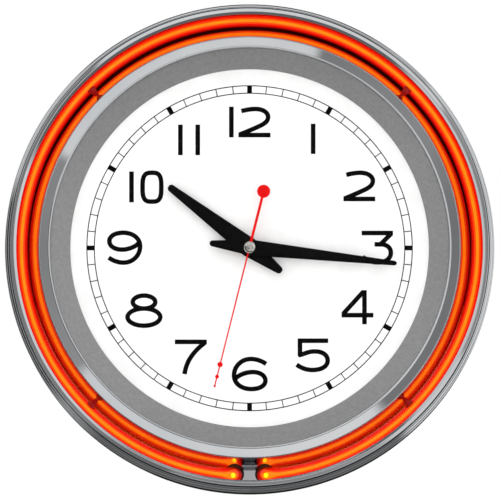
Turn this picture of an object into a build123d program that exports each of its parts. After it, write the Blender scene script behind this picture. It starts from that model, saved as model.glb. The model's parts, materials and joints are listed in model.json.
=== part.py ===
"""Service station wall clock with one neon ring in a chrome trough.

Millimetres. The clock's axis is the Y axis: the dial faces -Y, the wall is the plane Y = 0, +Z is up.
Every turned piece is drawn as a profile of (radius, y) points and revolved about the Y axis.
"""

import os
from math import cos, pi, radians, sin

from build123d import *

# ---- overall sizes ----
rim_radius = 184.15
clock_depth = 88.9
pad_height = 3.0

# ---- clearances ----
slip = 0.2
running = 0.05
seat = 0.02

# ---- shells ----
rim_wall = 2.5
rim_taper = 0.95
trough_wall = 1.8
housing_wall = 2.4
rim_rear_y = -22.0

# ---- neon ring ----
tube_radius = 4.75
ring_radius = 170.6
ring_y = -72.0
end_half_angle = 3.8
elbow_radius = 6.0
bulb_radius = 6.0
bulb_shift = 1.3
electrode_y = -46.0
trough_floor_y = -66.0
clip_thickness = 2.4

# ---- inner stack, from the dial to the bezel ----
dial_y = -69.0
dial_thickness = 1.0
dial_window_radius = 134.2
bezel_inner_radius = 149.1
bezel_outer_radius = 158.3
bezel_front_y = -87.2
bezel_seat_y = -84.0
cup_radius = 153.0
lens_thickness = 2.0
gasket_thickness = 1.0

# ---- rear housing ----
pan_radius = 175.0
flange_y = -26.2
well_radius = 56.0
well_front_y = -60.0
panel_z = -166.0

# ---- movement ----
case_width = 56.0
case_depth = 16.0
case_wall = 1.5
case_corner = 3.5
case_inner_corner = 1.2
bushing_radius = 3.9
hour_tube_radius = 2.5
minute_arbor_radius = 1.6
second_arbor_radius = 0.7
motion_distance = 12.0
third_distance = 9.0
cell_radius = 7.1
cell_length = 49.2
cell_z = -19.2

# ---- hands: angles clockwise from 12 at rest ----
hour_angle = 307.2
minute_angle = 96.2
second_angle = 194.1
hand_thickness = 0.4
hour_hand_y = -74.2
minute_hand_y = -76.6
second_hand_y = -79.0

# ---- fasteners ----
screw_radius = 1.5
screw_head_radius = 2.8
screw_head_height = 1.8
bezel_screw_radius = 0.6
housing_screw_count = 6
bezel_screw_count = 8
dial_screw_count = 6

pieces = {}


def turned(*points):
    """Solid of revolution about the clock axis from a closed (radius, y) profile."""
    return revolve(make_face(Polyline(*points, close=True)), Axis.Y)


def rod(radius, y_front, y_back, x=0.0, z=0.0, bore=0.0):
    """Round bar or tube along Y between two depths."""
    length = y_back - y_front
    place = Pos(x, (y_front + y_back) / 2, z) * Rot(90, 0, 0)
    solid = place * Cylinder(radius, length)
    if bore:
        solid -= place * Cylinder(bore, length + 2)
    return solid


def block(x0, x1, y0, y1, z0, z1):
    """Box between two corners."""
    return Pos((x0 + x1) / 2, (y0 + y1) / 2, (z0 + z1) / 2) * Box(x1 - x0, y1 - y0, z1 - z0)


def plate(outline, y_front, y_back):
    """Flat piece: an outline of (x, z) points given thickness along Y."""
    face = Plane.XZ.offset(-y_back) * make_face(Polyline(*outline, close=True))
    return extrude(face, amount=y_back - y_front)


def on_clock(radius, angle):
    """(x, z) of a point at a radius and an angle clockwise from 12."""
    return radius * sin(radians(angle)), radius * cos(radians(angle))


def along_hand(angle, outline):
    """Turn an outline of (along, across) points to a hand's angle."""
    s, c = sin(radians(angle)), cos(radians(angle))
    return [(a * s + t * c, a * c - t * s) for a, t in outline]


def gear(teeth, module, y_front, y_back, x, z, tooth_at, gap=False):
    """Spur gear with straight-sided teeth; a tooth, or a gap, points at the angle tooth_at.

    Angles run anticlockwise from +X in the X-Z plane.
    """
    pitch = module * teeth / 2
    step = 2 * pi / teeth
    start = radians(tooth_at) + (step / 2 if gap else 0)
    root_radius = pitch - 1.15 * module
    tip_radius = pitch + 0.8 * module
    corners = ((-0.30, root_radius), (-0.10, tip_radius), (0.10, tip_radius), (0.30, root_radius))
    outline = []
    for tooth in range(teeth):
        for share, radius in corners:
            angle = start + (tooth + share) * step
            outline.append((x + radius * cos(angle), z + radius * sin(angle)))
    return plate(outline, y_front, y_back)


def spread(count, radius, first_angle=0.0):
    """(x, z) of count places evenly spread on a circle."""
    return [on_clock(radius, first_angle + 360 / count * i) for i in range(count)]


def screw(x, z, y_head, length, towards=-1, radius=screw_radius):
    """Pan head screw along Y: the head's flat side at y_head, the shank running towards -Y or +Y."""
    scale = radius / screw_radius
    head_end = y_head - towards * screw_head_height * scale
    shank_end = y_head + towards * length
    head = rod(screw_head_radius * scale, min(y_head, head_end), max(y_head, head_end), x, z)
    shank = rod(radius, min(y_head, shank_end), max(y_head, shank_end), x, z)
    half_slot = 0.35 * scale
    slot = block(x - 2, x + 2, head_end - 2 * half_slot, head_end + 2 * half_slot,
                 z - half_slot, z + half_slot)
    return head + shank - slot


# ---------------------------------------------------------------- chrome shells
lip_radius = 177.3
lip_half = 1.1
step_radii = (180.3, 182.0)
step_depths = (-78.5, -69.0)
rim_front_radius = rim_radius - rim_taper
rim_shoulder_y = -58.0
ledge_radius = rim_radius - rim_wall - 2 * slip
ledge_y = trough_floor_y

lip_outer = lip_radius + lip_half
lip_inner = lip_radius - lip_half
outer_rim = turned(
    (lip_inner, -clock_depth + 3.0),
    (lip_inner, -clock_depth + 1.0),
    (lip_radius - 0.5, -clock_depth),
    (lip_radius + 0.5, -clock_depth),
    (lip_outer, -clock_depth + 1.0),
    (lip_outer + 0.2, step_depths[0] - 3.4),
    (step_radii[0], step_depths[0] - 2.4),
    (step_radii[0], step_depths[0]),
    (step_radii[1], step_depths[0] + 1.2),
    (step_radii[1], step_depths[1]),
    (rim_front_radius, step_depths[1] + 1.5),
    (rim_front_radius, rim_shoulder_y),
    (rim_radius, rim_rear_y - 3.0),
    (rim_radius, rim_rear_y - 0.8),
    (rim_radius - 0.8, rim_rear_y),
    (rim_radius - rim_wall, rim_rear_y),
    (rim_radius - rim_wall, trough_floor_y + trough_wall + 1.4 + slip),
    (ledge_radius - slip, trough_floor_y + trough_wall + 0.9 + slip),
    (ledge_radius - slip, trough_floor_y + trough_wall + slip),
    (rim_radius - rim_wall, trough_floor_y + trough_wall + slip),
    (rim_radius - rim_wall, ledge_y - slip),
    (step_radii[1] - 1.3, ledge_y - 2.0 - slip),
    (step_radii[1] - 1.3, step_depths[0] + 2.4),
    (step_radii[0] - 1.0, step_depths[0] + 0.6),
    (step_radii[0] - 1.0, -clock_depth + 4.6),
    (lip_radius + 1.2, -clock_depth + 3.0),
)
pieces["outer_rim"] = outer_rim

wall_top_y = -clock_depth + 3.0 + slip
floor_inner_radius = 166.2
floor_outer_radius = 175.5
cone_top_radius = bezel_outer_radius + 0.6
shelf_radius = 138.0
dial_back_y = dial_y + dial_thickness
tube_trough = turned(
    (lip_inner + 0.4, wall_top_y),
    (floor_outer_radius, trough_floor_y),
    (floor_inner_radius, trough_floor_y),
    (cone_top_radius, bezel_seat_y),
    (cup_radius, bezel_seat_y),
    (cup_radius, dial_back_y),
    (shelf_radius, dial_back_y),
    (shelf_radius, dial_back_y + trough_wall),
    (cup_radius + trough_wall, dial_back_y + trough_wall),
    (cup_radius + trough_wall, bezel_seat_y + trough_wall),
    (cone_top_radius - trough_wall, bezel_seat_y + trough_wall),
    (floor_inner_radius - trough_wall, trough_floor_y + trough_wall),
    (ledge_radius, trough_floor_y + trough_wall),
    (ledge_radius, trough_floor_y),
    (floor_outer_radius + trough_wall, trough_floor_y),
    (lip_inner + 0.4 + trough_wall * 0.8, wall_top_y),
)

# Bosses behind the trough take the housing screws.
boss_radius = 2.9
boss_circle = pan_radius + boss_radius + slip
for x, z in spread(housing_screw_count, boss_circle, 30):
    tube_trough += rod(boss_radius, trough_floor_y + trough_wall, flange_y, x, z)
    tube_trough -= rod(screw_radius + seat, -44, flange_y + 1, x, z)

# Holes for the bezel screws, the dial screws, the clips and the two tube ends.
bezel_screw_circle = (cup_radius + cone_top_radius) / 2
for x, z in spread(bezel_screw_count, bezel_screw_circle, 22.5):
    tube_trough -= rod(bezel_screw_radius + slip, bezel_seat_y - 1, bezel_seat_y + 4, x, z)
dial_screw_circle = 147.0
for x, z in spread(dial_screw_count, dial_screw_circle, 30):
    tube_trough -= rod(screw_radius + seat, dial_back_y - 1, dial_back_y + 4, x, z)

clip_angles = (45.0, 134.5, 225.0, 315.0)
clip_foot_radius = 2.0
for angle in clip_angles:
    x, z = on_clock(ring_radius, angle)
    tube_trough -= rod(clip_foot_radius + slip, trough_floor_y - 1, trough_floor_y + 4, x, z)

# Each end of the tube leaves the ring on a quarter bend and runs straight back through a grommet.
grommet_radius = tube_radius + 2.2
grommet_front_y = trough_floor_y + 0.7
grommet_back_y = trough_floor_y + 5.0
arc_half_gap = end_half_angle + elbow_radius / ring_radius * 180 / pi
tube_ends = []
for side in (-1, 1):
    leg = Rot(0, side * arc_half_gap, 0) * Pos(side * elbow_radius, 0, -ring_radius)
    tube_ends.append((leg.position.X, leg.position.Z))
for x, z in tube_ends:
    tube_trough -= rod(grommet_radius + slip, grommet_front_y - 1.0, grommet_back_y, x, z)
    tube_trough -= Pos(x, ring_y + 0.8, z + bulb_shift) * Sphere(bulb_radius + 2 * slip)
pieces["tube_trough"] = tube_trough

# ---------------------------------------------------------------- neon tube and what holds it
ring_section = Pos(ring_radius, ring_y) * Circle(tube_radius)
ring_arc = revolve(ring_section, Axis.Y, revolution_arc=360 - 2 * arc_half_gap)
neon_tube = Rot(0, 90 + arc_half_gap, 0) * ring_arc
bend_axis = Axis((0, elbow_radius, 0), (1, 0, 0))
for side, (x, z) in zip((-1, 1), tube_ends):
    bend = revolve(Circle(tube_radius), bend_axis, revolution_arc=90)
    at_arc_end = Pos(0, ring_y, 0) * Rot(0, side * arc_half_gap, 0) * Pos(0, 0, -ring_radius)
    neon_tube += at_arc_end * Rot(0, -90 * side, 0) * bend
    neon_tube += rod(tube_radius, ring_y + elbow_radius, electrode_y, x, z)
    neon_tube += Pos(x, ring_y + 0.8, z + bulb_shift) * Sphere(bulb_radius)
pieces["neon_tube"] = neon_tube

grommets = []
for x, z in tube_ends:
    grommets.append(rod(grommet_radius, grommet_front_y, grommet_back_y, x, z, tube_radius + seat))
pieces["tube_grommets"] = Compound(children=grommets)

# Rubber caps close the electrodes; each has a nipple for its lead.
cap_radius = tube_radius + 1.5
cap_back_y = electrode_y + 6.0
lead_radius = 1.6
caps = []
for x, z in tube_ends:
    cap = rod(cap_radius, electrode_y - 8, cap_back_y, x, z)
    cap -= rod(tube_radius + seat, electrode_y - 9, electrode_y, x, z)
    cap -= rod(lead_radius, cap_back_y - 3, cap_back_y + 1, x, z)
    caps.append(cap)
pieces["electrode_caps"] = Compound(children=caps)

# A clip is a clear foot in the trough floor with a horn that holds the tube on its inner side.
clip_inner = tube_radius + seat
clip_outer = tube_radius + 1.1
cradle = rod(clip_outer, 0, clip_thickness) - rod(clip_inner, -1, clip_thickness + 1)
cradle -= block(-9, 9, -1, clip_thickness + 1, 2.0, 9)
cradle -= block(0.5, 9, -1, clip_thickness + 1, -9, 9)
foot = block(-1.5, 0.5, 0.2, clip_thickness - 0.2, -clip_outer - 2.4, -clip_outer + 0.4)
cradle = Pos(0, -clip_thickness / 2, 0) * (cradle + foot)
# Local X becomes radial, local Z becomes -Y, so the horn stands on the hub side of the tube.
radial_up = Plane(origin=(0, ring_y, ring_radius), x_dir=(0, 0, 1), z_dir=(0, -1, 0))
clips = []
for angle in clip_angles:
    clips.append(Rot(0, angle, 0) * radial_up.location * cradle)
pieces["tube_clips"] = Compound(children=clips)

# ---------------------------------------------------------------- inner stack
bezel_lip = 2.9
lens_front_y = bezel_seat_y - 1.0
lens_back_y = lens_front_y + lens_thickness
lens_radius = cup_radius - 4 * slip
gasket_back_y = lens_back_y + gasket_thickness
surround_flange = 1.2
surround_radius = cup_radius - 2 * slip

inner_bezel = turned(
    (bezel_inner_radius, lens_front_y - 0.1),
    (bezel_inner_radius, lens_front_y - 0.9),
    (bezel_inner_radius + 0.7, lens_front_y - 1.3),
    (bezel_inner_radius + 1.5, lens_front_y - 0.7),
    (bezel_inner_radius + 5.2, bezel_front_y),
    (bezel_outer_radius - 3.2, bezel_front_y),
    (bezel_outer_radius - 0.6, bezel_seat_y - 1.9),
    (bezel_outer_radius, bezel_seat_y - 1.2),
    (bezel_outer_radius, bezel_seat_y),
    (cup_radius, bezel_seat_y),
    (cup_radius, lens_front_y - 0.1),
)
for x, z in spread(bezel_screw_count, bezel_screw_circle, 22.5):
    inner_bezel -= rod(bezel_screw_radius + seat, bezel_seat_y - 1.8, bezel_seat_y + 1, x, z)
pieces["inner_bezel"] = inner_bezel
pieces["lens"] = rod(lens_radius, lens_front_y, lens_back_y)
pieces["lens_gasket"] = rod(surround_radius, lens_back_y, gasket_back_y, bore=bezel_inner_radius + 0.3)

foot_width = 2.6
pieces["dial_surround"] = turned(
    (surround_radius, gasket_back_y),
    (surround_radius, gasket_back_y + surround_flange),
    (bezel_inner_radius + 0.6, gasket_back_y + surround_flange),
    (dial_window_radius + foot_width, dial_y),
    (dial_window_radius, dial_y),
    (dial_window_radius, dial_y - 0.8),
    (bezel_inner_radius - 0.4, gasket_back_y),
)

dial_plate = rod(cup_radius - 3 * slip, dial_y, dial_back_y, bore=bushing_radius + slip)
for x, z in spread(dial_screw_count, dial_screw_circle, 30):
    dial_plate -= rod(screw_radius + slip, dial_y - 1, dial_back_y + 1, x, z)
pieces["dial_plate"] = dial_plate

# ---------------------------------------------------------------- rear housing
back_y = -pad_height
back_inner_y = back_y - housing_wall
pan_edge = 2.5
flange_thickness = 2.2
flange_back_y = flange_y + flange_thickness
housing = turned(
    (0, flange_back_y),
    (pan_radius, flange_back_y),
    (pan_radius, back_y - pan_edge),
    (pan_radius - pan_edge, back_y),
    (0, back_y),
)
housing -= block(-200, 200, flange_back_y, 10, -200, panel_z)
hollow = turned(
    (0, flange_y - 1),
    (pan_radius - housing_wall, flange_y - 1),
    (pan_radius - housing_wall, back_inner_y),
    (0, back_inner_y),
)
hollow -= block(-200, 200, flange_y - 2, 10, -200, panel_z + housing_wall)
housing -= hollow
flange_radius = rim_radius - rim_wall - slip
housing += rod(flange_radius, flange_y, flange_back_y, bore=abs(panel_z) - housing_wall - 3)
housing -= rod(well_radius, back_inner_y - 1, 1)
housing += rod(well_radius + 2.0, well_front_y, back_y, bore=well_radius)
for x, z in spread(housing_screw_count, boss_circle, 30):
    housing -= rod(screw_radius + slip, flange_y - 1, flange_back_y + 1, x, z)

# Supply bosses, and the hole that the wall screw's head passes behind the hanger.
board_centre_z = -106.0
board_half_width = 42.0
board_half_height = 24.0
board_boss_height = 6.0
board_hole_x = board_half_width - 5
board_hole_z = board_half_height - 5
board_corners = [(sx * board_hole_x, board_centre_z + sz * board_hole_z) for sx in (-1, 1) for sz in (-1, 1)]
board_back_y = back_inner_y - board_boss_height
for x, z in board_corners:
    housing += rod(3.5, board_back_y, back_inner_y, x, z)
    housing -= rod(screw_radius + seat, board_back_y - 1, back_inner_y - 0.6, x, z)

keyhole_z = 112.0
keyhole_radius = 4.8
slot_half_width = 2.3
slot_length = 12.0
hanger_thickness = 1.2
head_room = 2.5
housing -= rod(keyhole_radius + head_room, -12, 1, 0, keyhole_z)
housing -= rod(keyhole_radius + head_room, -12, 1, 0, keyhole_z + slot_length)
housing -= block(
    -keyhole_radius - head_room, keyhole_radius + head_room, -12, 1, keyhole_z, keyhole_z + slot_length
)
hanger_screw_x = 22.0
hanger_mid_z = keyhole_z + slot_length / 2
for side in (-1, 1):
    housing += rod(3.5, back_inner_y - 4, back_inner_y, side * hanger_screw_x, hanger_mid_z)
    housing -= rod(screw_radius + seat, back_inner_y - 3, 1, side * hanger_screw_x, hanger_mid_z)

# Service panel at 6 o'clock: a switch opening and a socket hole.
panel_mid_y = (flange_back_y + back_y) / 2 - 0.4
switch_x = -26.0
switch_half_length = 9.6
switch_half_width = 6.4
socket_x = 26.0
socket_radius = 4.0
housing -= block(
    switch_x - switch_half_length - slip, switch_x + switch_half_length + slip,
    panel_mid_y - switch_half_width - slip, panel_mid_y + switch_half_width + slip,
    panel_z - 3, panel_z + housing_wall + 3,
)
socket_hole = Pos(socket_x, panel_mid_y, panel_z) * Cylinder(socket_radius + slip, 12)
housing -= socket_hole
pieces["rear_housing"] = housing

hanger = block(-28, 28, back_y, back_y + hanger_thickness, keyhole_z - 9, keyhole_z + slot_length + 7)
hanger -= rod(keyhole_radius, -9, 1, 0, keyhole_z)
hanger -= block(-slot_half_width, slot_half_width, -9, 1, keyhole_z, keyhole_z + slot_length)
hanger -= rod(slot_half_width, -9, 1, 0, keyhole_z + slot_length)
hanger_screws = []
for side in (-1, 1):
    hanger -= rod(screw_radius + slip, -9, 1, side * hanger_screw_x, hanger_mid_z)
    low_head = screw(side * hanger_screw_x, hanger_mid_z, back_y + hanger_thickness, 5.5)
    hanger_screws.append(low_head & block(-99, 99, -50, 0, 0, 200))
pieces["hanger_plate"] = hanger
pieces["hanger_screws"] = Compound(children=hanger_screws)

pad_radius = 8.0
pad_circle = 158.0
pads = [rod(pad_radius, back_y, 0, x, z) for x, z in spread(4, pad_circle, 45)]
pieces["wall_pads"] = Compound(children=pads)

housing_screws = []
for x, z in spread(housing_screw_count, boss_circle, 30):
    housing_screws.append(screw(x, z, flange_back_y, 12.0))
pieces["housing_screws"] = Compound(children=housing_screws)

bezel_screws = []
for x, z in spread(bezel_screw_count, bezel_screw_circle, 22.5):
    seat_y = bezel_seat_y + trough_wall
    bezel_screws.append(screw(x, z, seat_y, trough_wall + 1.6, radius=bezel_screw_radius))
pieces["bezel_screws"] = Compound(children=bezel_screws)

dial_screws = []
for x, z in spread(dial_screw_count, dial_screw_circle, 30):
    dial_screws.append(screw(x, z, dial_y, dial_thickness + trough_wall + 1.0, towards=1))
pieces["dial_screws"] = Compound(children=dial_screws)

# ---------------------------------------------------------------- power supply
board_thickness = 1.6
board_front_y = board_back_y - board_thickness
board = block(
    -board_half_width, board_half_width, board_front_y, board_back_y,
    board_centre_z - board_half_height, board_centre_z + board_half_height,
)
board_screws = []
for x, z in board_corners:
    board -= rod(screw_radius + slip, board_front_y - 1, board_back_y + 1, x, z)
    board_screws.append(screw(x, z, board_front_y, board_thickness + 5.0, towards=1))
pieces["supply_board"] = board
pieces["board_screws"] = Compound(children=board_screws)

transformer_x = -12.0
transformer_size = (34.0, 20.0, 28.0)
transformer = block(
    transformer_x - transformer_size[0] / 2, transformer_x + transformer_size[0] / 2,
    board_front_y - transformer_size[1], board_front_y,
    board_centre_z - transformer_size[2] / 2, board_centre_z + transformer_size[2] / 2,
)
pieces["step_up_transformer"] = fillet(transformer.edges().filter_by(Axis.Y), 2.5)

capacitor_radius = 4.0
capacitor_length = 12.0
capacitors = []
for z in (board_centre_z - 6, board_centre_z + 6):
    body = rod(capacitor_radius, board_front_y - capacitor_length, board_front_y, 16, z)
    capacitors.append(body - rod(capacitor_radius + 1, board_front_y - 1.6, board_front_y - 1, 16, z, 3.7))
pieces["capacitors"] = Compound(children=capacitors)
heat_sink = block(26, 34, board_front_y - 14, board_front_y, board_centre_z - 9, board_centre_z + 9)
for fin in range(4):
    heat_sink -= block(27.6, 35, board_front_y - 15, board_front_y - 1.6, board_centre_z - 7.4 + 4 * fin,
                       board_centre_z - 4.9 + 4 * fin)
pieces["heat_sink"] = heat_sink

# High voltage leads: out of the caps, across behind the trough and into the transformer's side.
transformer_side_z = board_centre_z - transformer_size[2] / 2
lead_end_y = board_front_y - transformer_size[1] / 2
lead_cross_y = flange_y - 6.0
leads = []
for (x, z), target_x in zip(tube_ends, (transformer_x + 8, transformer_x - 8)):
    route = FilletPolyline(
        (x, cap_back_y - 2.9, z),
        (x, lead_cross_y, z),
        ((x + target_x) / 2, lead_cross_y, (z + transformer_side_z) / 2 - 4),
        (target_x, lead_end_y, transformer_side_z - 13),
        (target_x, lead_end_y, transformer_side_z),
        radius=5.0,
    )
    leads.append(sweep(Plane(origin=route @ 0, z_dir=route % 0) * Circle(lead_radius - 0.1), path=route))
pieces["tube_leads"] = Compound(children=leads)

# ---------------------------------------------------------------- socket and switch
socket_bore = 2.8
socket_depth = 9.5
socket_rim = 5.6
socket_length = 15.0


def panel_rod(radius, z_low, z_high, x, bore=0.0):
    """Round bar or tube along Z on the service panel."""
    place = Pos(x, panel_mid_y, (z_low + z_high) / 2)
    solid = place * Cylinder(radius, z_high - z_low)
    if bore:
        solid -= place * Cylinder(bore, z_high - z_low + 2)
    return solid


socket = panel_rod(socket_radius, panel_z, panel_z + socket_length, socket_x)
socket += panel_rod(socket_rim, panel_z - 1.8, panel_z, socket_x)
socket -= panel_rod(socket_bore, panel_z - 3, panel_z - 1.8 + socket_depth, socket_x)
socket += panel_rod(0.95, panel_z - 0.8, panel_z + socket_depth, socket_x)
pieces["power_socket"] = socket
nut_height = 2.4
nut_z = panel_z + housing_wall
nut = Pos(socket_x, panel_mid_y, nut_z) * extrude(RegularPolygon(5.6, 6), nut_height)
pieces["socket_nut"] = nut - panel_rod(socket_radius + seat, nut_z - 1, nut_z + nut_height + 1, socket_x)

frame_lip = 1.4
frame_depth = 15.0
rocker_half_length = 7.0
rocker_half_width = 4.2
rocker_pivot_z = panel_z + 2.2
rocker_swing = 16.0
frame_body = block(
    switch_x - switch_half_length, switch_x + switch_half_length,
    panel_mid_y - switch_half_width, panel_mid_y + switch_half_width,
    panel_z, panel_z + frame_depth,
)
frame_body += block(
    switch_x - switch_half_length - 1.3, switch_x + switch_half_length + 1.3,
    panel_mid_y - switch_half_width - 1.3, panel_mid_y + switch_half_width + 1.3,
    panel_z - frame_lip, panel_z,
)
frame_body -= block(
    switch_x - rocker_half_length - 0.9, switch_x + rocker_half_length + 0.9,
    panel_mid_y - rocker_half_width - 0.3, panel_mid_y + rocker_half_width + 0.3,
    panel_z - 9, panel_z + 9,
)
pieces["switch_frame"] = frame_body

# The rocker's two wings lie at half the swing to each other; at rest the left wing is pressed in.
half_swing = radians(rocker_swing / 2)
wing_drop = rocker_half_length * sin(half_swing)
rocker_face = panel_z - 1.6
rocker_outline = [
    (-rocker_half_length, rocker_face - wing_drop),
    (0, rocker_face),
    (rocker_half_length, rocker_face - wing_drop),
    (rocker_half_length - 0.4, rocker_pivot_z + 0.6),
    (2.2, rocker_pivot_z + 2.0),
    (-2.2, rocker_pivot_z + 2.0),
    (-rocker_half_length + 0.4, rocker_pivot_z + 0.6),
]
rocker = plate(rocker_outline, panel_mid_y - rocker_half_width, panel_mid_y + rocker_half_width)
to_pivot = Pos(switch_x, 0, rocker_pivot_z) * Rot(0, rocker_swing / 2, 0) * Pos(0, 0, -rocker_pivot_z)
rocker = to_pivot * rocker
pieces["switch_rocker"] = rocker

# ---------------------------------------------------------------- quartz movement
gasket_rubber = 1.0
case_front_y = dial_back_y + gasket_rubber
case_back_y = case_front_y + case_depth
split_y = case_front_y + 9.0
inner_front_y = case_front_y + case_wall
inner_back_y = case_back_y - case_wall
half_case = case_width / 2
inner_half = half_case - case_wall


def rounded_case(y_front, y_back, half_side, corner):
    """Square block with round corners, centred on the clock axis."""
    solid = block(-half_side, half_side, y_front, y_back, -half_side, half_side)
    return fillet(solid.edges().filter_by(Axis.Y), corner)


bushing_tip_y = dial_y - 4.6
hour_tube_bore = minute_arbor_radius + running
front_case = rounded_case(case_front_y, split_y, half_case, case_corner)
front_case -= rounded_case(inner_front_y, split_y + 1, inner_half, case_inner_corner)
front_case += rod(bushing_radius, bushing_tip_y, case_front_y)
front_case -= rod(hour_tube_radius + running, bushing_tip_y - 1, inner_front_y + 1)

# The cell's bay opens through the back; a wall shuts it off from the wheels.
bay_clear = 0.35
bay_top_z = cell_z + cell_radius + bay_clear
bay_half_length = cell_length / 2 + 1.9
bay_wall = 0.9
front_case += block(-inner_half, inner_half, inner_front_y, split_y, bay_top_z, bay_top_z + bay_wall)

back_case = rounded_case(split_y, case_back_y, half_case, case_corner)
back_case -= rounded_case(split_y - 1, inner_back_y, inner_half, case_inner_corner)
back_case += block(-inner_half, inner_half, split_y, inner_back_y, bay_top_z, bay_top_z + bay_wall)
bay_low_z = -inner_half
back_case -= block(-bay_half_length, bay_half_length, inner_back_y - 1, case_back_y + 1, bay_low_z, bay_top_z)

second_seat = second_arbor_radius + running
back_case += rod(2.0, inner_back_y - 2.0, inner_back_y)
back_case -= rod(second_seat, inner_back_y - 3.0, inner_back_y)
motion_arbor_radius = 1.0
back_case -= rod(motion_arbor_radius + running, inner_back_y - 1, case_back_y + 1, 0, motion_distance)

intermediate_distance = 10.8
intermediate_direction = 20.0
rotor_distance = 8.4
rotor_direction = -5.0
ix = intermediate_distance * cos(radians(intermediate_direction))
iz = intermediate_distance * sin(radians(intermediate_direction))
rx = ix + rotor_distance * cos(radians(rotor_direction))
rz = iz + rotor_distance * sin(radians(rotor_direction))
rotor_pivot_radius = 0.4
back_case += rod(1.6, inner_back_y - 1.0, inner_back_y, rx, rz)
back_case -= rod(rotor_pivot_radius + running, inner_back_y - 2.0, inner_back_y, rx, rz)
pieces["movement_front_case"] = front_case
pieces["movement_back_case"] = back_case

pieces["movement_gasket"] = rod(14.0, dial_back_y, case_front_y, bore=bushing_radius + slip)
washer_thickness = 0.5
pieces["centre_washer"] = rod(7.0, dial_y - washer_thickness, dial_y, bore=bushing_radius + slip)
nut_back_y = dial_y - washer_thickness
centre_nut = extrude(Plane.XZ.offset(-nut_back_y) * RegularPolygon(5.6, 6), 2.4)
pieces["centre_nut"] = centre_nut - rod(bushing_radius + seat, nut_back_y - 5, nut_back_y + 1)

# Depths of the layers inside the case, counted from the inside of its front wall.
hour_layer = inner_front_y + 0.2
motion_layer = inner_front_y + 1.3
plate_layer = inner_front_y + 2.4
centre_layer = inner_front_y + 3.6
third_layer = inner_front_y + 4.8
second_layer = inner_front_y + 6.3
intermediate_layer = inner_front_y + 7.6
rotor_layer = inner_front_y + 8.7
wheel = 0.6
plate_thickness = 0.8

# Motion work, 12 to 1: minute pinion, motion wheel and its pinion, hour wheel.
minute_pinion_teeth = 12
motion_wheel_teeth = 36
motion_pinion_teeth = 12
hour_wheel_teeth = 48
first_module = motion_distance / ((minute_pinion_teeth + motion_wheel_teeth) / 2)
last_module = motion_distance / ((motion_pinion_teeth + hour_wheel_teeth) / 2)

hour_wheel = gear(hour_wheel_teeth, last_module, hour_layer, hour_layer + 0.8, 0, 0, 90)
hour_wheel += rod(hour_tube_radius, hour_hand_y - hand_thickness - 0.4, hour_layer + 0.8)
hour_wheel -= rod(hour_tube_bore, -90, hour_layer + 2)
pieces["hour_wheel"] = hour_wheel

motion = gear(motion_pinion_teeth, last_module, hour_layer, hour_layer + 0.9, 0, motion_distance, -90, True)
motion += gear(motion_wheel_teeth, first_module, motion_layer, motion_layer + 0.7, 0, motion_distance,
               -90, True)
motion += rod(motion_arbor_radius, hour_layer, case_back_y + 1.5, 0, motion_distance)
pieces["motion_wheel"] = motion

minute_end_y = centre_layer + 0.8
minute = gear(minute_pinion_teeth, first_module, motion_layer - 0.1, motion_layer + 0.8, 0, 0, 90)
minute += rod(minute_arbor_radius, minute_hand_y - hand_thickness - 0.4, minute_end_y)
minute -= rod(second_arbor_radius + running, -90, minute_end_y + 1)
pieces["minute_wheel"] = minute

knob_radius = 7.0
knob_depth = 3.2
knob = rod(knob_radius, case_back_y + 0.4, case_back_y + 0.4 + knob_depth, 0, motion_distance)
for x, z in spread(18, knob_radius + 0.25):
    knob -= rod(0.6, case_back_y, case_back_y + 5, x, z + motion_distance)
knob -= rod(motion_arbor_radius + seat, case_back_y, case_back_y + 1.5, 0, motion_distance)
pieces["setting_knob"] = knob

# Going train: rotor, intermediate wheel, second wheel, third wheel, centre wheel.
train_plate = block(-15.5, 22.5, plate_layer, plate_layer + plate_thickness, bay_top_z + bay_wall + 0.2, 25.0)
train_plate -= rod(minute_arbor_radius + slip, -90, 0)
train_plate -= rod(motion_arbor_radius + running, -90, 0, 0, motion_distance)
post_radius = 0.5
train_plate += rod(post_radius, plate_layer, third_layer + 1.0, -third_distance, 0)
train_plate += rod(post_radius, plate_layer, intermediate_layer + 1.0, ix, iz)
train_plate -= rod(rotor_pivot_radius + running, -90, 0, rx, rz)
pieces["train_plate"] = train_plate

second_pinion_teeth = 8
third_wheel_teeth = 60
third_pinion_teeth = 8
centre_wheel_teeth = 64
second_wheel_teeth = 60
intermediate_pinion_teeth = 12
intermediate_wheel_teeth = 48
rotor_pinion_teeth = 8
centre_module = third_distance / ((third_pinion_teeth + centre_wheel_teeth) / 2)
third_module = third_distance / ((second_pinion_teeth + third_wheel_teeth) / 2)
second_module = intermediate_distance / ((intermediate_pinion_teeth + second_wheel_teeth) / 2)
rotor_module = rotor_distance / ((rotor_pinion_teeth + intermediate_wheel_teeth) / 2)

centre_wheel = gear(centre_wheel_teeth, centre_module, centre_layer, centre_layer + wheel, 0, 0, 180)
centre_wheel -= rod(minute_arbor_radius + running, -90, 0)
pieces["centre_wheel"] = centre_wheel

third = gear(third_pinion_teeth, centre_module, centre_layer - 0.1, third_layer, -third_distance, 0, 0, True)
third += gear(third_wheel_teeth, third_module, third_layer, third_layer + wheel, -third_distance, 0, 0, True)
third -= rod(post_radius + running, -90, 0, -third_distance, 0)
pieces["third_wheel"] = third

second = gear(second_pinion_teeth, third_module, third_layer - 0.1, second_layer, 0, 0, 180)
second += gear(second_wheel_teeth, second_module, second_layer, second_layer + wheel, 0, 0,
               intermediate_direction)
second += rod(second_arbor_radius, second_hand_y - hand_thickness - 0.5, inner_back_y - 0.1)
pieces["second_wheel"] = second

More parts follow.
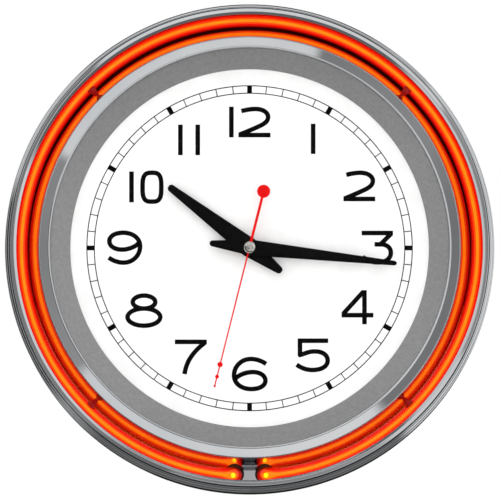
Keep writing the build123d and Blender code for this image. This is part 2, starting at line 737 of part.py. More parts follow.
back_to_axis = intermediate_direction + 180
intermediate = gear(intermediate_pinion_teeth, second_module, second_layer - 0.1, intermediate_layer, ix, iz,
                    back_to_axis, True)
intermediate += gear(intermediate_wheel_teeth, rotor_module, intermediate_layer, intermediate_layer + wheel,
                     ix, iz, rotor_direction)
intermediate -= rod(post_radius + running, -90, 0, ix, iz)
pieces["intermediate_wheel"] = intermediate

rotor = gear(rotor_pinion_teeth, rotor_module, intermediate_layer - 0.1, intermediate_layer + 0.9, rx, rz,
             rotor_direction + 180, True)
rotor += rod(2.5, intermediate_layer + 0.9, rotor_layer + 1.6, rx, rz)
rotor += rod(rotor_pivot_radius, plate_layer + 0.1, inner_back_y - 0.1, rx, rz)
pieces["rotor"] = rotor

# Stator with the coil on its arm, the circuit board and the cell.
stator_y = rotor_layer + 0.5
stator_thickness = 1.0
coil_z = 20.5
coil_x = (4.0, 19.0)
stator = plate(
    [(rx - 4.6, rz - 4.6), (rx + 4.6, rz - 4.6), (rx + 4.6, coil_z + 1), (coil_x[0] - 2, coil_z + 1),
     (coil_x[0] - 2, coil_z - 1), (coil_x[1] + 0.6, coil_z - 1), (coil_x[1] + 0.6, rz + 4.6),
     (rx - 4.6, rz + 4.6)],
    stator_y, stator_y + stator_thickness,
)
stator -= rod(3.1, -90, 0, rx, rz)
pieces["stator"] = stator

coil_radius = 3.2
coil_middle_y = stator_y + stator_thickness / 2
coil_length = coil_x[1] - coil_x[0]
coil = Pos(sum(coil_x) / 2, coil_middle_y, coil_z) * Rot(0, 90, 0) * Cylinder(coil_radius, coil_length)
coil -= block(
    coil_x[0] - 1, coil_x[1] + 1, stator_y - running, stator_y + stator_thickness + running,
    coil_z - 1 - running, coil_z + 1 + running,
)
pieces["coil"] = coil

circuit_y = inner_back_y - 1.6
pieces["circuit_board"] = block(-25.0, -6.0, circuit_y, circuit_y + 0.8, 0.0, 24.0)
crystal = Pos(-15.5, circuit_y - 1.05, 15.0) * Rot(0, 90, 0) * Cylinder(1.0, 6.0)
chip = rod(2.6, circuit_y - 1.0, circuit_y, -15.5, 7.0)
pieces["crystal"] = crystal
pieces["chip"] = chip

cell_y = inner_front_y + cell_radius + 0.1
cell_back_x = -25.1
nub_length = 1.1


def bay_rod(radius, x0, x1):
    """Round bar along X on the cell's axis."""
    return Pos((x0 + x1) / 2, cell_y, cell_z) * Rot(0, 90, 0) * Cylinder(radius, x1 - x0)


cell = bay_rod(cell_radius, cell_back_x, cell_back_x + cell_length)
cell = fillet(cell.edges().filter_by(GeomType.CIRCLE), 0.7)
cell += bay_rod(2.75, cell_back_x + cell_length, cell_back_x + cell_length + nub_length)
pieces["cell"] = cell
contact_half = 4.5
contact_low_z = cell_z - contact_half
contact_high_z = cell_z + contact_half
near_contact = block(-inner_half, -inner_half + 0.4, cell_y - 4.5, cell_y + 4.5,
                     contact_low_z, contact_high_z)
near_contact += bay_rod(3.4, -inner_half + 0.4, cell_back_x) - bay_rod(2.6, -inner_half, cell_back_x + 1)
far_face = cell_back_x + cell_length + nub_length
far_contact = block(far_face, inner_half, cell_y - 4.5, cell_y + 4.5, contact_low_z, contact_high_z)
pieces["cell_contacts"] = Compound(children=[near_contact, far_contact])

# ---------------------------------------------------------------- hands
tip_chamfer = 1.7


def blade(reach, hub_half, tip_half, tail_reach, tail_half):
    """Outline of a hand, widest at its hub and blunt at both ends."""
    return [
        (reach, -tip_half * 0.35), (reach, tip_half * 0.35), (reach - tip_chamfer, tip_half),
        (0, hub_half), (-tail_reach + tip_chamfer, tail_half), (-tail_reach, tail_half * 0.35),
        (-tail_reach, -tail_half * 0.35), (-tail_reach + tip_chamfer, -tail_half), (0, -hub_half),
        (reach - tip_chamfer, -tip_half),
    ]


hour_outline = blade(76.0, 7.35, 2.7, 30.0, 2.7)
hour_hand = plate(along_hand(hour_angle, hour_outline), hour_hand_y - hand_thickness, hour_hand_y)
hour_hand += rod(4.0, hour_hand_y, hour_hand_y + 0.35)
hour_hand -= rod(hour_tube_radius + seat, -90, 0)
pieces["hour_hand"] = hour_hand

minute_outline = blade(110.6, 6.0, 1.75, 30.0, 2.2)
minute_hand = plate(along_hand(minute_angle, minute_outline), minute_hand_y - hand_thickness, minute_hand_y)
minute_hand += rod(3.2, minute_hand_y, minute_hand_y + 0.9)
minute_hand -= rod(minute_arbor_radius + seat, -90, 0)
pieces["minute_hand"] = minute_hand

second_reach = 107.8
second_arm_half = 0.47
counter_reach = 43.2
counter_radius = 4.9
counter_arm_half = 1.0
dot_places = ((90.3, 2.0), (99.6, 1.45), (second_reach - 0.9, 0.9))
second_front_y = second_hand_y - hand_thickness
arm = [(0, -second_arm_half), (second_reach - 1, -second_arm_half), (second_reach - 1, second_arm_half),
       (0, second_arm_half), (0, counter_arm_half), (-counter_reach, counter_arm_half),
       (-counter_reach, -counter_arm_half), (0, -counter_arm_half)]
second_hand = plate(along_hand(second_angle, arm), second_front_y, second_hand_y)
for reach, radius in dot_places:
    x, z = on_clock(reach, second_angle)
    second_hand += rod(radius, second_front_y, second_hand_y, x, z)
x, z = on_clock(-counter_reach, second_angle)
second_hand += rod(counter_radius, second_front_y, second_hand_y, x, z)
second_hand += rod(3.6, second_front_y, second_hand_y)
second_hand += rod(2.2, second_hand_y, second_hand_y + 0.7)
second_hand -= rod(second_arbor_radius + seat, -90, 0)
pieces["second_hand"] = second_hand

cap_radius_front = 4.4
cap_height = 2.5
hub_cap = rod(cap_radius_front, second_front_y - cap_height, second_front_y)
front_edges = hub_cap.edges().filter_by(GeomType.CIRCLE).sort_by(Axis.Y)[0]
hub_cap = fillet(front_edges, 1.9)
hub_cap -= rod(second_arbor_radius + seat, second_front_y - 0.55, second_front_y + 1)
pieces["hub_cap"] = hub_cap

# ---------------------------------------------------------------- write one STEP per piece
os.makedirs("parts", exist_ok=True)
for name, solid in pieces.items():
    solid.label = name
    export_step(solid, f"parts/{name}.step")
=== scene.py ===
"""Looks of a chrome wall clock with a neon ring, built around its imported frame. Sizes are in mm."""
import json

import bpy
import numpy as np
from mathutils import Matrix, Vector


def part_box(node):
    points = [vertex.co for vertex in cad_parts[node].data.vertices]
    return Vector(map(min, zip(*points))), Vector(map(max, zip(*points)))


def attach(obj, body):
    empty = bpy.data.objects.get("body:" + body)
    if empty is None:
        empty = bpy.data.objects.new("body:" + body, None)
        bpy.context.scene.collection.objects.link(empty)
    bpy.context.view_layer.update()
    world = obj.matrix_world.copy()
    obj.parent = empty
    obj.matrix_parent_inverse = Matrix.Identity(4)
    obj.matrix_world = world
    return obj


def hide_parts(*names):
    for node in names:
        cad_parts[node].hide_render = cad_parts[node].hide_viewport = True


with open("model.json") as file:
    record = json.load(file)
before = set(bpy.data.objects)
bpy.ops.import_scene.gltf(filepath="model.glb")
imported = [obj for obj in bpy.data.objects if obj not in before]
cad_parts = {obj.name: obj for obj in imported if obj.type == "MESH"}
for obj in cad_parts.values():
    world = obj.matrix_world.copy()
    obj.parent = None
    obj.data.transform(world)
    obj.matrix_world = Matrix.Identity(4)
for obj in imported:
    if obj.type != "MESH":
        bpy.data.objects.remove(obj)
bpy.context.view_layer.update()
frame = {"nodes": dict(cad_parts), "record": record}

MM = 0.001
HUB_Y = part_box("hub_cap")[0][1] / MM
DIAL_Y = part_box("dial_plate")[0][1] / MM
RIM_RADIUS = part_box("outer_rim")[1][0] / MM
RIM_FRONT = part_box("outer_rim")[0][1] / MM
RIM_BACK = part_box("outer_rim")[1][1] / MM


# ---------------------------------------------------------------- node and colour helpers
def linear(hex_colour, alpha=1.0):
    """sRGB hex to linear RGBA."""
    parts = np.array([int(hex_colour[i:i + 2], 16) for i in (0, 2, 4)]) / 255
    line = np.where(parts <= 0.04045, parts / 12.92, ((parts + 0.055) / 1.055) ** 2.4)
    return (*line, alpha)


def add(tree, kind, settings=None, values=None, links=None):
    """Adds one node with its settings, its socket values and its incoming links."""
    made = tree.nodes.new(kind)
    for key, value in (settings or {}).items():
        setattr(made, key, value)
    for key, value in (values or {}).items():
        made.inputs[key].default_value = value
    for key, source in (links or {}).items():
        tree.links.new(source, made.inputs[key])
    return made


def blank(name):
    """An empty material, its tree and its output node."""
    material = bpy.data.materials.new(name)
    material.use_nodes = True
    tree = material.node_tree
    tree.nodes.clear()
    return material, tree, add(tree, "ShaderNodeOutputMaterial")


def finish(name, colour, roughness, metallic=0.0, second=None, patch_mm=8.0, grain_mm=0.5,
           grain_depth_mm=0.02, gloss_swing=0.06, stretch=(1, 1, 1), **sockets):
    """A surface with fine grain in its height, slow patches in its colour and its gloss.

    grain_mm is the distance between grains, patch_mm that between patches. sockets go on the shader.
    """
    material, tree, output = blank(name)
    place = add(tree, "ShaderNodeTexCoord")
    turned = add(tree, "ShaderNodeMapping", values={"Scale": stretch},
                 links={"Vector": place.outputs["Object"]})
    grain = add(tree, "ShaderNodeTexNoise", values={"Scale": 1 / (grain_mm * MM), "Detail": 3.0},
                links={"Vector": turned.outputs[0]})
    patch = add(tree, "ShaderNodeTexNoise", values={"Scale": 1 / (patch_mm * MM), "Detail": 2.0},
                links={"Vector": turned.outputs[0]})
    bump = add(tree, "ShaderNodeBump", values={"Distance": grain_depth_mm * MM, "Strength": 1.0},
               links={"Height": grain.outputs["Fac"]})
    gloss = add(tree, "ShaderNodeMapRange",
                values={"To Min": max(roughness - gloss_swing, 0.0), "To Max": roughness + gloss_swing},
                links={"Value": patch.outputs["Fac"]})
    shades = add(tree, "ShaderNodeValToRGB", links={"Fac": patch.outputs["Fac"]})
    shades.color_ramp.elements[0].position = 0.35
    shades.color_ramp.elements[1].position = 0.65
    shades.color_ramp.elements[0].color = linear(colour)
    shades.color_ramp.elements[1].color = linear(second or colour)
    shader = add(tree, "ShaderNodeBsdfPrincipled", values={"Metallic": metallic, **sockets},
                 links={"Base Color": shades.outputs[0], "Roughness": gloss.outputs[0],
                        "Normal": bump.outputs[0]})
    tree.links.new(shader.outputs[0], output.inputs["Surface"])
    return material


def glow(name, colour, strength, alpha, streak_mm=14.0, swing=0.12):
    """A clear layer of the lit tube: its own light, a little uneven along its length, and its own clarity.
    The tube clips use it too, and there the light is painted glow of the tube shining through them.
    """
    material, tree, output = blank(name)
    place = add(tree, "ShaderNodeTexCoord")
    noise = add(tree, "ShaderNodeTexNoise", values={"Scale": 1 / (streak_mm * MM), "Detail": 2.0},
                links={"Vector": place.outputs["Object"]})
    level = add(tree, "ShaderNodeMapRange",
                values={"To Min": strength * (1 - swing), "To Max": strength * (1 + swing)},
                links={"Value": noise.outputs["Fac"]})
    shader = add(tree, "ShaderNodeBsdfPrincipled",
                 values={"Base Color": linear("200402"), "Roughness": 0.06, "Alpha": alpha,
                         "Emission Color": linear(colour), "Specular IOR Level": 0.3},
                 links={"Emission Strength": level.outputs[0]})
    tree.links.new(shader.outputs[0], output.inputs["Surface"])
    return material


# ---------------------------------------------------------------- materials, one for each finish
chrome = finish("chrome_plated_abs", "E4E6E8", 0.035, 1.0, "DADDE0", 60, 30, 0.012, 0.012)
# The trough's chrome is the rim's chrome made darker: painted shade for the recess it lines.
trough_chrome_painted_shade = finish("chrome_plated_trough_painted_shade", "CBCBCD", 0.035, 1.0, "C4C5C7", 60, 30, 0.012, 0.012)
satin_silver = finish("satin_silver_lacquer", "8A8A8B", 0.42, 0.35, "949495", 2.4, 0.9, 0.035, 0.08)
dial_white = finish("white_printed_aluminium", "FAFAFA", 0.55, 0.0, "F3F3F3", 20, 1.2, 0.004, 0.04)
dial_ink = finish("black_dial_ink", "020202", 0.7, 0.0, "040404", 4, 0.5, 0.004, 0.05,
                  **{"Specular IOR Level": 0.1})
black_lacquer = finish("black_lacquered_aluminium", "020202", 0.5, 0.0, "040404", 6, 0.6, 0.004, 0.05,
                       **{"Specular IOR Level": 0.1})
red_lacquer = finish("red_lacquered_aluminium", "E00000", 0.45, 0.0, "D60000", 6, 0.6, 0.004, 0.05,
                     **{"Specular IOR Level": 0.1})
polished_nickel = finish("polished_nickel_plate", "ECEAE6", 0.24, 1.0, "CFCBC2", 3, 0.5, 0.003, 0.04)
black_abs = finish("spark_eroded_black_abs", "17171A", 0.58, 0.0, "1D1D20", 14, 0.8, 0.05, 0.06)
black_nylon = finish("moulded_black_nylon", "141416", 0.5, 0.0, "19191B", 5, 0.7, 0.02, 0.05)
gloss_black = finish("gloss_black_abs", "0E0E10", 0.16, 0.0, "121214", 8, 2.0, 0.004, 0.03)
black_rubber = finish("matt_silicone_rubber", "0C0C0D", 0.7, 0.0, "121213", 3, 0.4, 0.02, 0.06)
zinc_steel = finish("bright_zinc_plate", "B9BCC0", 0.28, 1.0, "A9ADB4", 3, 0.5, 0.01, 0.08)
aluminium = finish("extruded_aluminium", "C6C8CA", 0.34, 1.0, "B6B9BC", 4, 0.4, 0.02, 0.08, (1, 0.1, 1))
brass = finish("turned_brass", "C9A65A", 0.24, 1.0, "BB9447", 4, 0.3, 0.01, 0.06)
acetal = finish("moulded_natural_acetal", "E4E1D6", 0.4, 0.0, "DAD6C8", 5, 0.6, 0.008, 0.05)
knob_grey = finish("moulded_grey_abs", "B9B9B4", 0.45, 0.0, "AEAEA8", 6, 0.6, 0.02, 0.05)
case_black = finish("moulded_movement_case", "1B1B1D", 0.5, 0.0, "222225", 8, 0.5, 0.03, 0.06)
board_green = finish("green_solder_mask", "0F4A26", 0.3, 0.0, "145A2E", 3, 0.8, 0.02, 0.06)
potting = finish("black_potting_resin", "121214", 0.22, 0.0, "18181A", 6, 1.5, 0.03, 0.05)
shrink_sleeve = finish("blue_black_shrink_sleeve", "1A2440", 0.3, 0.0, "1E2A4A", 4, 0.9, 0.01, 0.05)
white_silicone = finish("white_silicone_insulation", "CFCCC2", 0.55, 0.0, "C2BEB2", 6, 0.5, 0.02, 0.06)
magnet = finish("sintered_magnet", "3A3B3E", 0.45, 0.6, "313235", 2, 0.3, 0.02, 0.08)
copper = finish("enamelled_copper_winding", "B5622E", 0.3, 0.8, "9E4F22", 2, 0.16, 0.08, 0.08, (0.02, 1, 1))
cell_grey = finish("printed_cell_sleeve", "5A5E64", 0.28, 0.5, "50545A", 9, 0.6, 0.006, 0.05)
lens_glass = finish("clear_float_glass", "0E1416", 0.03, 0.0, "0E1416", 50, 30, 0.004, 0.01,
                    **{"Alpha": 0.015})
tube_glass = glow("lead_glass_tube", "F40903", 0.6, 0.38)
# The clips are no lamp: their emission is painted glow, the tube's red light shining through the tinted
# plastic.
clip_red_painted_glow = glow("tinted_polycarbonate_painted_glow", "D00804", 0.42, 0.8)
tube_haze = glow("neon_haze", "FF1604", 1.35, 0.42)
tube_bloom = glow("neon_bloom", "FF5A0C", 2.2, 0.45, 9.0, 0.15)
tube_core = glow("neon_discharge", "FF9008", 4.0, 1.0, 7.0, 0.25)
tube_hot = glow("electrode_glow", "FFE010", 4.0, 1.0, 5.0, 0.1)

SLOT_FINISH = {
    "chrome": chrome, "neon_glass": tube_glass, "black_rubber": black_rubber, "clip_plastic": clip_red_painted_glow,
    "clear_glass": lens_glass, "satin_silver": satin_silver, "dial_white": dial_white, "black_abs": black_abs,
    "zinc_steel": zinc_steel, "circuit_board": board_green, "potting": potting,
    "capacitor_sleeve": shrink_sleeve, "bare_aluminium": aluminium, "lead_insulation": white_silicone,
    "black_nylon": black_nylon, "nickel": polished_nickel, "switch_rocker_plastic": gloss_black,
    "movement_case": case_black, "brass": brass, "acetal": acetal, "knob_plastic": knob_grey,
    "rotor_magnet": magnet, "copper_wire": copper, "cell_sleeve": cell_grey,
    "black_lacquer": black_lacquer, "red_lacquer": red_lacquer,
}
for part in frame["record"]["subparts"]:
    for place in frame["nodes"][part["node"]].material_slots:
        place.material = SLOT_FINISH[part["material_slot"]]


# ---------------------------------------------------------------- mesh helpers
def mesh_piece(name, points, faces, material, body="clock", slot=None, smooth=True):
    """Puts points in mm and faces into a mesh that rides on a body."""
    mesh = bpy.data.meshes.new(name)
    mesh.from_pydata(np.asarray(points) * MM, [], faces)
    mesh.materials.append(material)
    mesh.polygons.foreach_set("use_smooth", np.full(len(mesh.polygons), smooth))
    mesh.update()
    piece = bpy.data.objects.new(name, mesh)
    bpy.context.scene.collection.objects.link(piece)
    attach(piece, body)
    return piece


def grid_faces(rows, columns, wrap_rows, wrap_columns):
    """Quads of a grid of rows by columns points, closed along either way where asked."""
    r = np.arange(rows if wrap_rows else rows - 1)[:, None]
    c = np.arange(columns if wrap_columns else columns - 1)[None, :]
    near, far = r * columns, ((r + 1) % rows) * columns
    here, there = c, (c + 1) % columns
    quads = np.stack([near + here, near + there, far + there, far + here], axis=-1)
    return quads.reshape(-1, 4).tolist()


def rounded(corners, steps=7, hold=0.12):
    """A closed profile whose corners (radius, y, fillet) are turned into arcs.

    An arc's points are the corner's centre plus the fillet times cosine and sine of a turning angle.
    A holding point just outside each end keeps the straight runs truly flat when shaded.
    """
    path = []
    count = len(corners)
    for i in range(count):
        before, here, after = (np.array(corners[(i + k) % count][:2], float) for k in (-1, 0, 1))
        fillet = corners[i][2]
        to_before = (before - here) / np.linalg.norm(before - here)
        to_after = (after - here) / np.linalg.norm(after - here)
        half = np.arccos(np.clip(to_before @ to_after, -1, 1)) / 2
        reach = fillet / np.tan(half)
        start, end = here + to_before * reach, here + to_after * reach
        middle = (to_before + to_after) / np.linalg.norm(to_before + to_after)
        centre = here + middle * fillet / np.sin(half)
        a, b = start - centre, end - centre
        turn = np.arctan2(a[0] * b[1] - a[1] * b[0], a @ b)
        angle = np.arctan2(a[1], a[0]) + turn * np.linspace(0, 1, steps)
        arc = centre + fillet * np.stack([np.cos(angle), np.sin(angle)], axis=1)
        path += [start + to_before * hold, *arc, end + to_after * hold]
    return np.array(path)


def lathe(name, profile, material, turns=480, **where):
    """A closed (radius, y) profile turned about the Y axis: x = r sin(u), y = y, z = r cos(u)."""
    u = np.linspace(0, 2 * np.pi, turns, endpoint=False)[:, None]
    r, y = profile[:, 0][None, :], profile[:, 1][None, :]
    points = np.stack([r * np.sin(u), y + 0 * u, r * np.cos(u)], axis=-1).reshape(-1, 3)
    loop = profile - profile.mean(axis=0)
    area = np.sum(loop[:, 0] * np.roll(loop[:, 1], -1) - np.roll(loop[:, 0], -1) * loop[:, 1])
    if area < 0:
        points = points.reshape(turns, -1, 3)[:, ::-1].reshape(-1, 3)
    return mesh_piece(name, points, grid_faces(turns, len(profile), True, True), material, **where)


def pipe(name, path, radius, material, sides=28, **where):
    """A round bar along a path: a path point plus radius times a turning pair of normals."""
    path = np.asarray(path, float)
    radius = np.broadcast_to(np.asarray(radius, float), len(path))
    along = np.gradient(path, axis=0)
    along /= np.linalg.norm(along, axis=1, keepdims=True)
    side = np.cross(along, (0.0, 1.0, 0.0))
    flat = np.linalg.norm(side, axis=1) < 0.05
    normals = np.zeros_like(path)
    previous = np.array((0.0, 0.0, 1.0)) if flat[0] else side[0]
    for i, direction in enumerate(along):
        previous = previous - direction * (previous @ direction)
        previous /= np.linalg.norm(previous)
        normals[i] = previous
    binormals = np.cross(along, normals)
    v = np.linspace(0, 2 * np.pi, sides, endpoint=False)[None, :, None]
    ring = np.cos(v) * normals[:, None] + np.sin(v) * binormals[:, None]
    points = (path[:, None] + radius[:, None, None] * ring).reshape(-1, 3)
    faces = grid_faces(len(path), sides, False, True)
    last = len(points)
    points = np.vstack([points, path[:1], path[-1:]])
    for i in range(sides):
        j = (i + 1) % sides
        faces.append([i, last, j])
        faces.append([last - sides + j, last + 1, last - sides + i])
    return mesh_piece(name, points, faces, material, **where)


def spun(name, profile, material, turns=96, centre=(0.0, 0.0), **where):
    """A solid turned about a line along Y from a profile that starts and ends on that line.

    x = cx + r sin(u), z = cz + r cos(u); each end is one shared pole point.
    """
    profile = np.asarray(profile, float)
    u = np.linspace(0, 2 * np.pi, turns, endpoint=False)[None, :]
    r, y = profile[1:-1, 0][:, None], profile[1:-1, 1][:, None]
    ring = np.stack([centre[0] + r * np.sin(u), y + 0 * u, centre[1] + r * np.cos(u)], axis=-1)
    poles = [[centre[0], profile[0, 1], centre[1]], [centre[0], profile[-1, 1], centre[1]]]
    points = np.vstack([ring.reshape(-1, 3), poles])
    faces = grid_faces(len(profile) - 2, turns, False, True)
    first, last = len(points) - 2, len(points) - 1
    low = len(points) - 2 - turns
    faces += [[first, (i + 1) % turns, i] for i in range(turns)]
    faces += [[last, low + i, low + (i + 1) % turns] for i in range(turns)]
    if profile[0, 1] < profile[-1, 1]:
        faces = [face[::-1] for face in faces]
    return mesh_piece(name, points, faces, material, **where)


# ---------------------------------------------------------------- chrome shells and the satin surround
rim_profile = rounded([
    (173.9, -87.1, 0.1), (175.7, RIM_FRONT, 0.5), (178.4, -88.5, 0.6), (178.5, -82.1, 0.2),
    (180.3, -81.2, 0.95), (180.3, -77.5, 0.2), (182.0, -76.6, 0.95), (182.0, -68.7, 0.2), (183.2, -68.0, 0.7),
    (183.2, -58.0, 6.0), (RIM_RADIUS, -25.0, 3.0), (RIM_RADIUS, RIM_BACK, 0.8),
    (RIM_RADIUS - 2.5, RIM_BACK, 0.3), (RIM_RADIUS - 2.5, -66.2, 0.3), (180.7, -68.2, 0.3),
    (180.7, -76.1, 0.3),
    (179.3, -77.9, 0.3), (179.3, -84.3, 0.3), (178.5, -85.9, 0.2), (174.3, -85.9, 0.1),
])
rim = lathe("rim_shell", rim_profile, chrome, 640, slot="chrome")
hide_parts("outer_rim")

trough_profile = rounded([
    (176.6, -85.7, 0.2), (175.5, -66.0, 1.4), (165.6, -66.0, 0.8), (165.6, -69.7, 3.0), (157.4, -85.6, 0.15),
    (157.2, -85.3, 0.1), (157.2, -84.0, 0.1), (153.0, -84.0, 0.2),
    (153.0, -68.0, 0.2), (138.0, -68.0, 0.2), (138.0, -66.2, 0.2), (154.8, -66.2, 0.3), (154.8, -82.2, 0.2),
    (157.1, -82.2, 0.2), (164.4, -64.2, 0.5), (181.25, -64.2, 0.2), (181.25, -66.0, 0.2), (177.3, -66.0, 0.2),
    (178.04, -85.7, 0.2),
])
trough = lathe("trough_shell", trough_profile, trough_chrome_painted_shade, 640, slot="chrome")
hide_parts("tube_trough")

bezel_profile = rounded([
    (149.1, -85.1, 0.1), (149.1, -85.75, 0.35), (150.1, -85.75, 0.3), (150.5, -85.5, 0.1),
    (156.9, -86.9, 0.4),
    (157.15, -86.4, 0.15), (157.15, -84.05, 0.1), (153.0, -84.0, 0.1), (153.0, -85.1, 0.1),
])
bezel = lathe("bezel_ring", bezel_profile, chrome, 640, slot="chrome")
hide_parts("inner_bezel")

surround_profile = rounded([
    (152.6, -82.0, 0.2), (152.6, -80.8, 0.2), (149.7, -80.8, 0.4), (136.8, -69.0, 0.2), (134.2, -69.0, 0.1),
    (134.2, -69.8, 0.2), (148.7, -82.0, 0.3),
])
surround = lathe("surround_ring", surround_profile, satin_silver, 480, slot="satin_silver")
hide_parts("dial_surround")

# ---------------------------------------------------------------- neon tube: glass, haze and discharge
RING_RADIUS = 170.6
RING_Y = -72.0
TUBE_RADIUS = 4.75
ELBOW = 6.0
HALF_GAP = np.radians(3.8) + ELBOW / RING_RADIUS


def tube_path(leg_end):
    """Centre line of the tube: a straight leg, a quarter bend, the ring, a quarter bend and a leg.

    The ring is R sin(a), R cos(a). A bend is its ring end plus ELBOW sin(b) along the ring and
    ELBOW (1 - cos(b)) towards the wall.
    """
    a = np.pi + np.linspace(HALF_GAP, 2 * np.pi - HALF_GAP, 1100)
    ring = np.stack([RING_RADIUS * np.sin(a), np.full_like(a, RING_Y), RING_RADIUS * np.cos(a)], axis=1)
    b = np.linspace(0, np.pi / 2, 22)[1:, None]
    leg_y = np.linspace(RING_Y + ELBOW, leg_end, 10)[1:]
    halves = []
    for end, beyond in ((ring[0], ring[0] - ring[1]), (ring[-1], ring[-1] - ring[-2])):
        out = beyond / np.linalg.norm(beyond)
        bend = end + ELBOW * np.sin(b) * out + ELBOW * (1 - np.cos(b)) * np.array((0.0, 1.0, 0.0))
        leg = np.repeat(bend[-1:], len(leg_y), axis=0)
        leg[:, 1] = leg_y
        halves.append(np.vstack([bend, leg]))
    return np.vstack([halves[0][::-1], ring, halves[1]])


def swelling(path, radius, extra, reach):
    """The radius along a path, grown by extra in a bell of a given reach round each bend."""
    steps = np.linalg.norm(np.diff(path, axis=0), axis=1)
    run = np.concatenate([[0], np.cumsum(steps)])
    leg = (path[0, 1] - (RING_Y + ELBOW))
    middle = leg + ELBOW * np.pi / 4
    bell = np.exp(-((run - middle) / reach) ** 2) + np.exp(-((run[-1] - run - middle) / reach) ** 2)
    return radius + extra * bell


glass_path = tube_path(-46.0)
glass = pipe("neon_glass", glass_path, swelling(glass_path, TUBE_RADIUS, 1.55, 8.0), tube_glass, 32,
             slot="neon_glass")
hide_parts("neon_tube")
haze_path = tube_path(-58.0)
pipe("neon_haze", haze_path, swelling(haze_path, 3.75, 1.7, 8.0), tube_haze, 24, slot="neon_glass")
bloom_path = tube_path(-59.0)
pipe("neon_bloom", bloom_path, swelling(bloom_path, 2.35, 1.6, 5.0), tube_bloom, 20, slot="neon_glass")
core_path = tube_path(-60.0)
pipe("neon_discharge", core_path, swelling(core_path, 1.15, 1.5, 5.5), tube_core, 16, slot="neon_glass")
for side in (-1, 1):
    bend = np.linspace(0, np.pi, 17)
    spot = np.stack([1.8 * np.sin(bend), -73.6 - 1.7 * np.cos(bend)], axis=1)
    hand_side = "left" if side < 0 else "right"
    spun("electrode_glow_" + hand_side, spot, tube_hot, 32, (side * 12.4, -170.1), slot="neon_glass")

# ---------------------------------------------------------------- dial print
INK = 0.05


def ribbon(path, width, closed=False, height=INK, base_y=DIAL_Y):
    """A flat strip along a path of (x, z) points: each point goes half the width to both sides."""
    width = np.broadcast_to(width, len(path))[:, None]
    path = np.asarray(path, float)
    if closed:
        along = np.roll(path, -1, axis=0) - np.roll(path, 1, axis=0)
    else:
        along = np.gradient(path, axis=0)
    along /= np.linalg.norm(along, axis=1, keepdims=True)
    across = np.stack([along[:, 1], -along[:, 0]], axis=1) * width / 2
    left, right = path - across, path + across
    levels = (base_y - height, base_y - height, base_y - 0.004, base_y - 0.004)
    sides = (left, right, right, left)
    points = np.stack([np.insert(side, 1, level, axis=1) for side, level in zip(sides, levels)], axis=1)
    faces = grid_faces(len(path), 4, closed, True)
    if not closed:
        faces += [[3, 2, 1, 0], [4 * len(path) - 4 + k for k in range(4)]]
    return points.reshape(-1, 3), faces


def print_piece(name, strips, material):
    """Joins ink strips into one piece."""
    points, faces, base = [], [], 0
    for strip, quads in strips:
        points.append(strip)
        faces += [[index + base for index in quad] for quad in quads]
        base += len(strip)
    return mesh_piece(name, np.vstack(points), faces, material, slot="dial_white", smooth=False)


def on_dial(radius, degrees):
    """(x, z) at a radius and an angle clockwise from 12."""
    a = np.radians(degrees)
    return np.stack([radius * np.sin(a), radius * np.cos(a)], axis=-1)


TRACK_OUTER = 121.8
TRACK_INNER = 116.2
full_turn = np.linspace(0, 360, 360, endpoint=False)
track = [ribbon(on_dial(radius, full_turn), 0.75, True) for radius in (TRACK_OUTER, TRACK_INNER)]
for minute in range(60):
    width = 3.6 if minute % 5 == 0 else 0.7
    bar = on_dial(np.array([TRACK_INNER, TRACK_OUTER]), 6.0 * minute)
    track.append(ribbon(bar, width))
print_piece("minute_track", track, dial_ink)


def bezier(chain, steps=14):
    """A chain of cubic curves: each point is the blend (1-t)^3 a + 3(1-t)^2 t b + 3(1-t) t^2 c + t^3 d."""
    chain = np.asarray(chain, float)
    t = np.linspace(0, 1, steps)[:, None]
    path = [chain[:1]]
    for first in range(0, len(chain) - 1, 3):
        a, b, c, d = chain[first:first + 4]
        path.append(((1 - t) ** 3 * a + 3 * (1 - t) ** 2 * t * b + 3 * (1 - t) * t ** 2 * c + t ** 3 * d)[1:])
    return np.vstack(path)


def oval(u, v, across, up):
    """A closed ellipse."""
    t = np.linspace(0, 2 * np.pi, 60, endpoint=False)
    return np.stack([u + across * np.cos(t), v + up * np.sin(t)], axis=1)


def squarish(u, v, across, up, power=3.2):
    """A closed super-ellipse: |x/across| and |y/up| to one power add up to 1."""
    t = np.linspace(0, 2 * np.pi, 80, endpoint=False)
    c, s = np.cos(t), np.sin(t)
    return np.stack([u + across * np.sign(c) * np.abs(c) ** (2 / power),
                     v + up * np.sign(s) * np.abs(s) ** (2 / power)], axis=1)


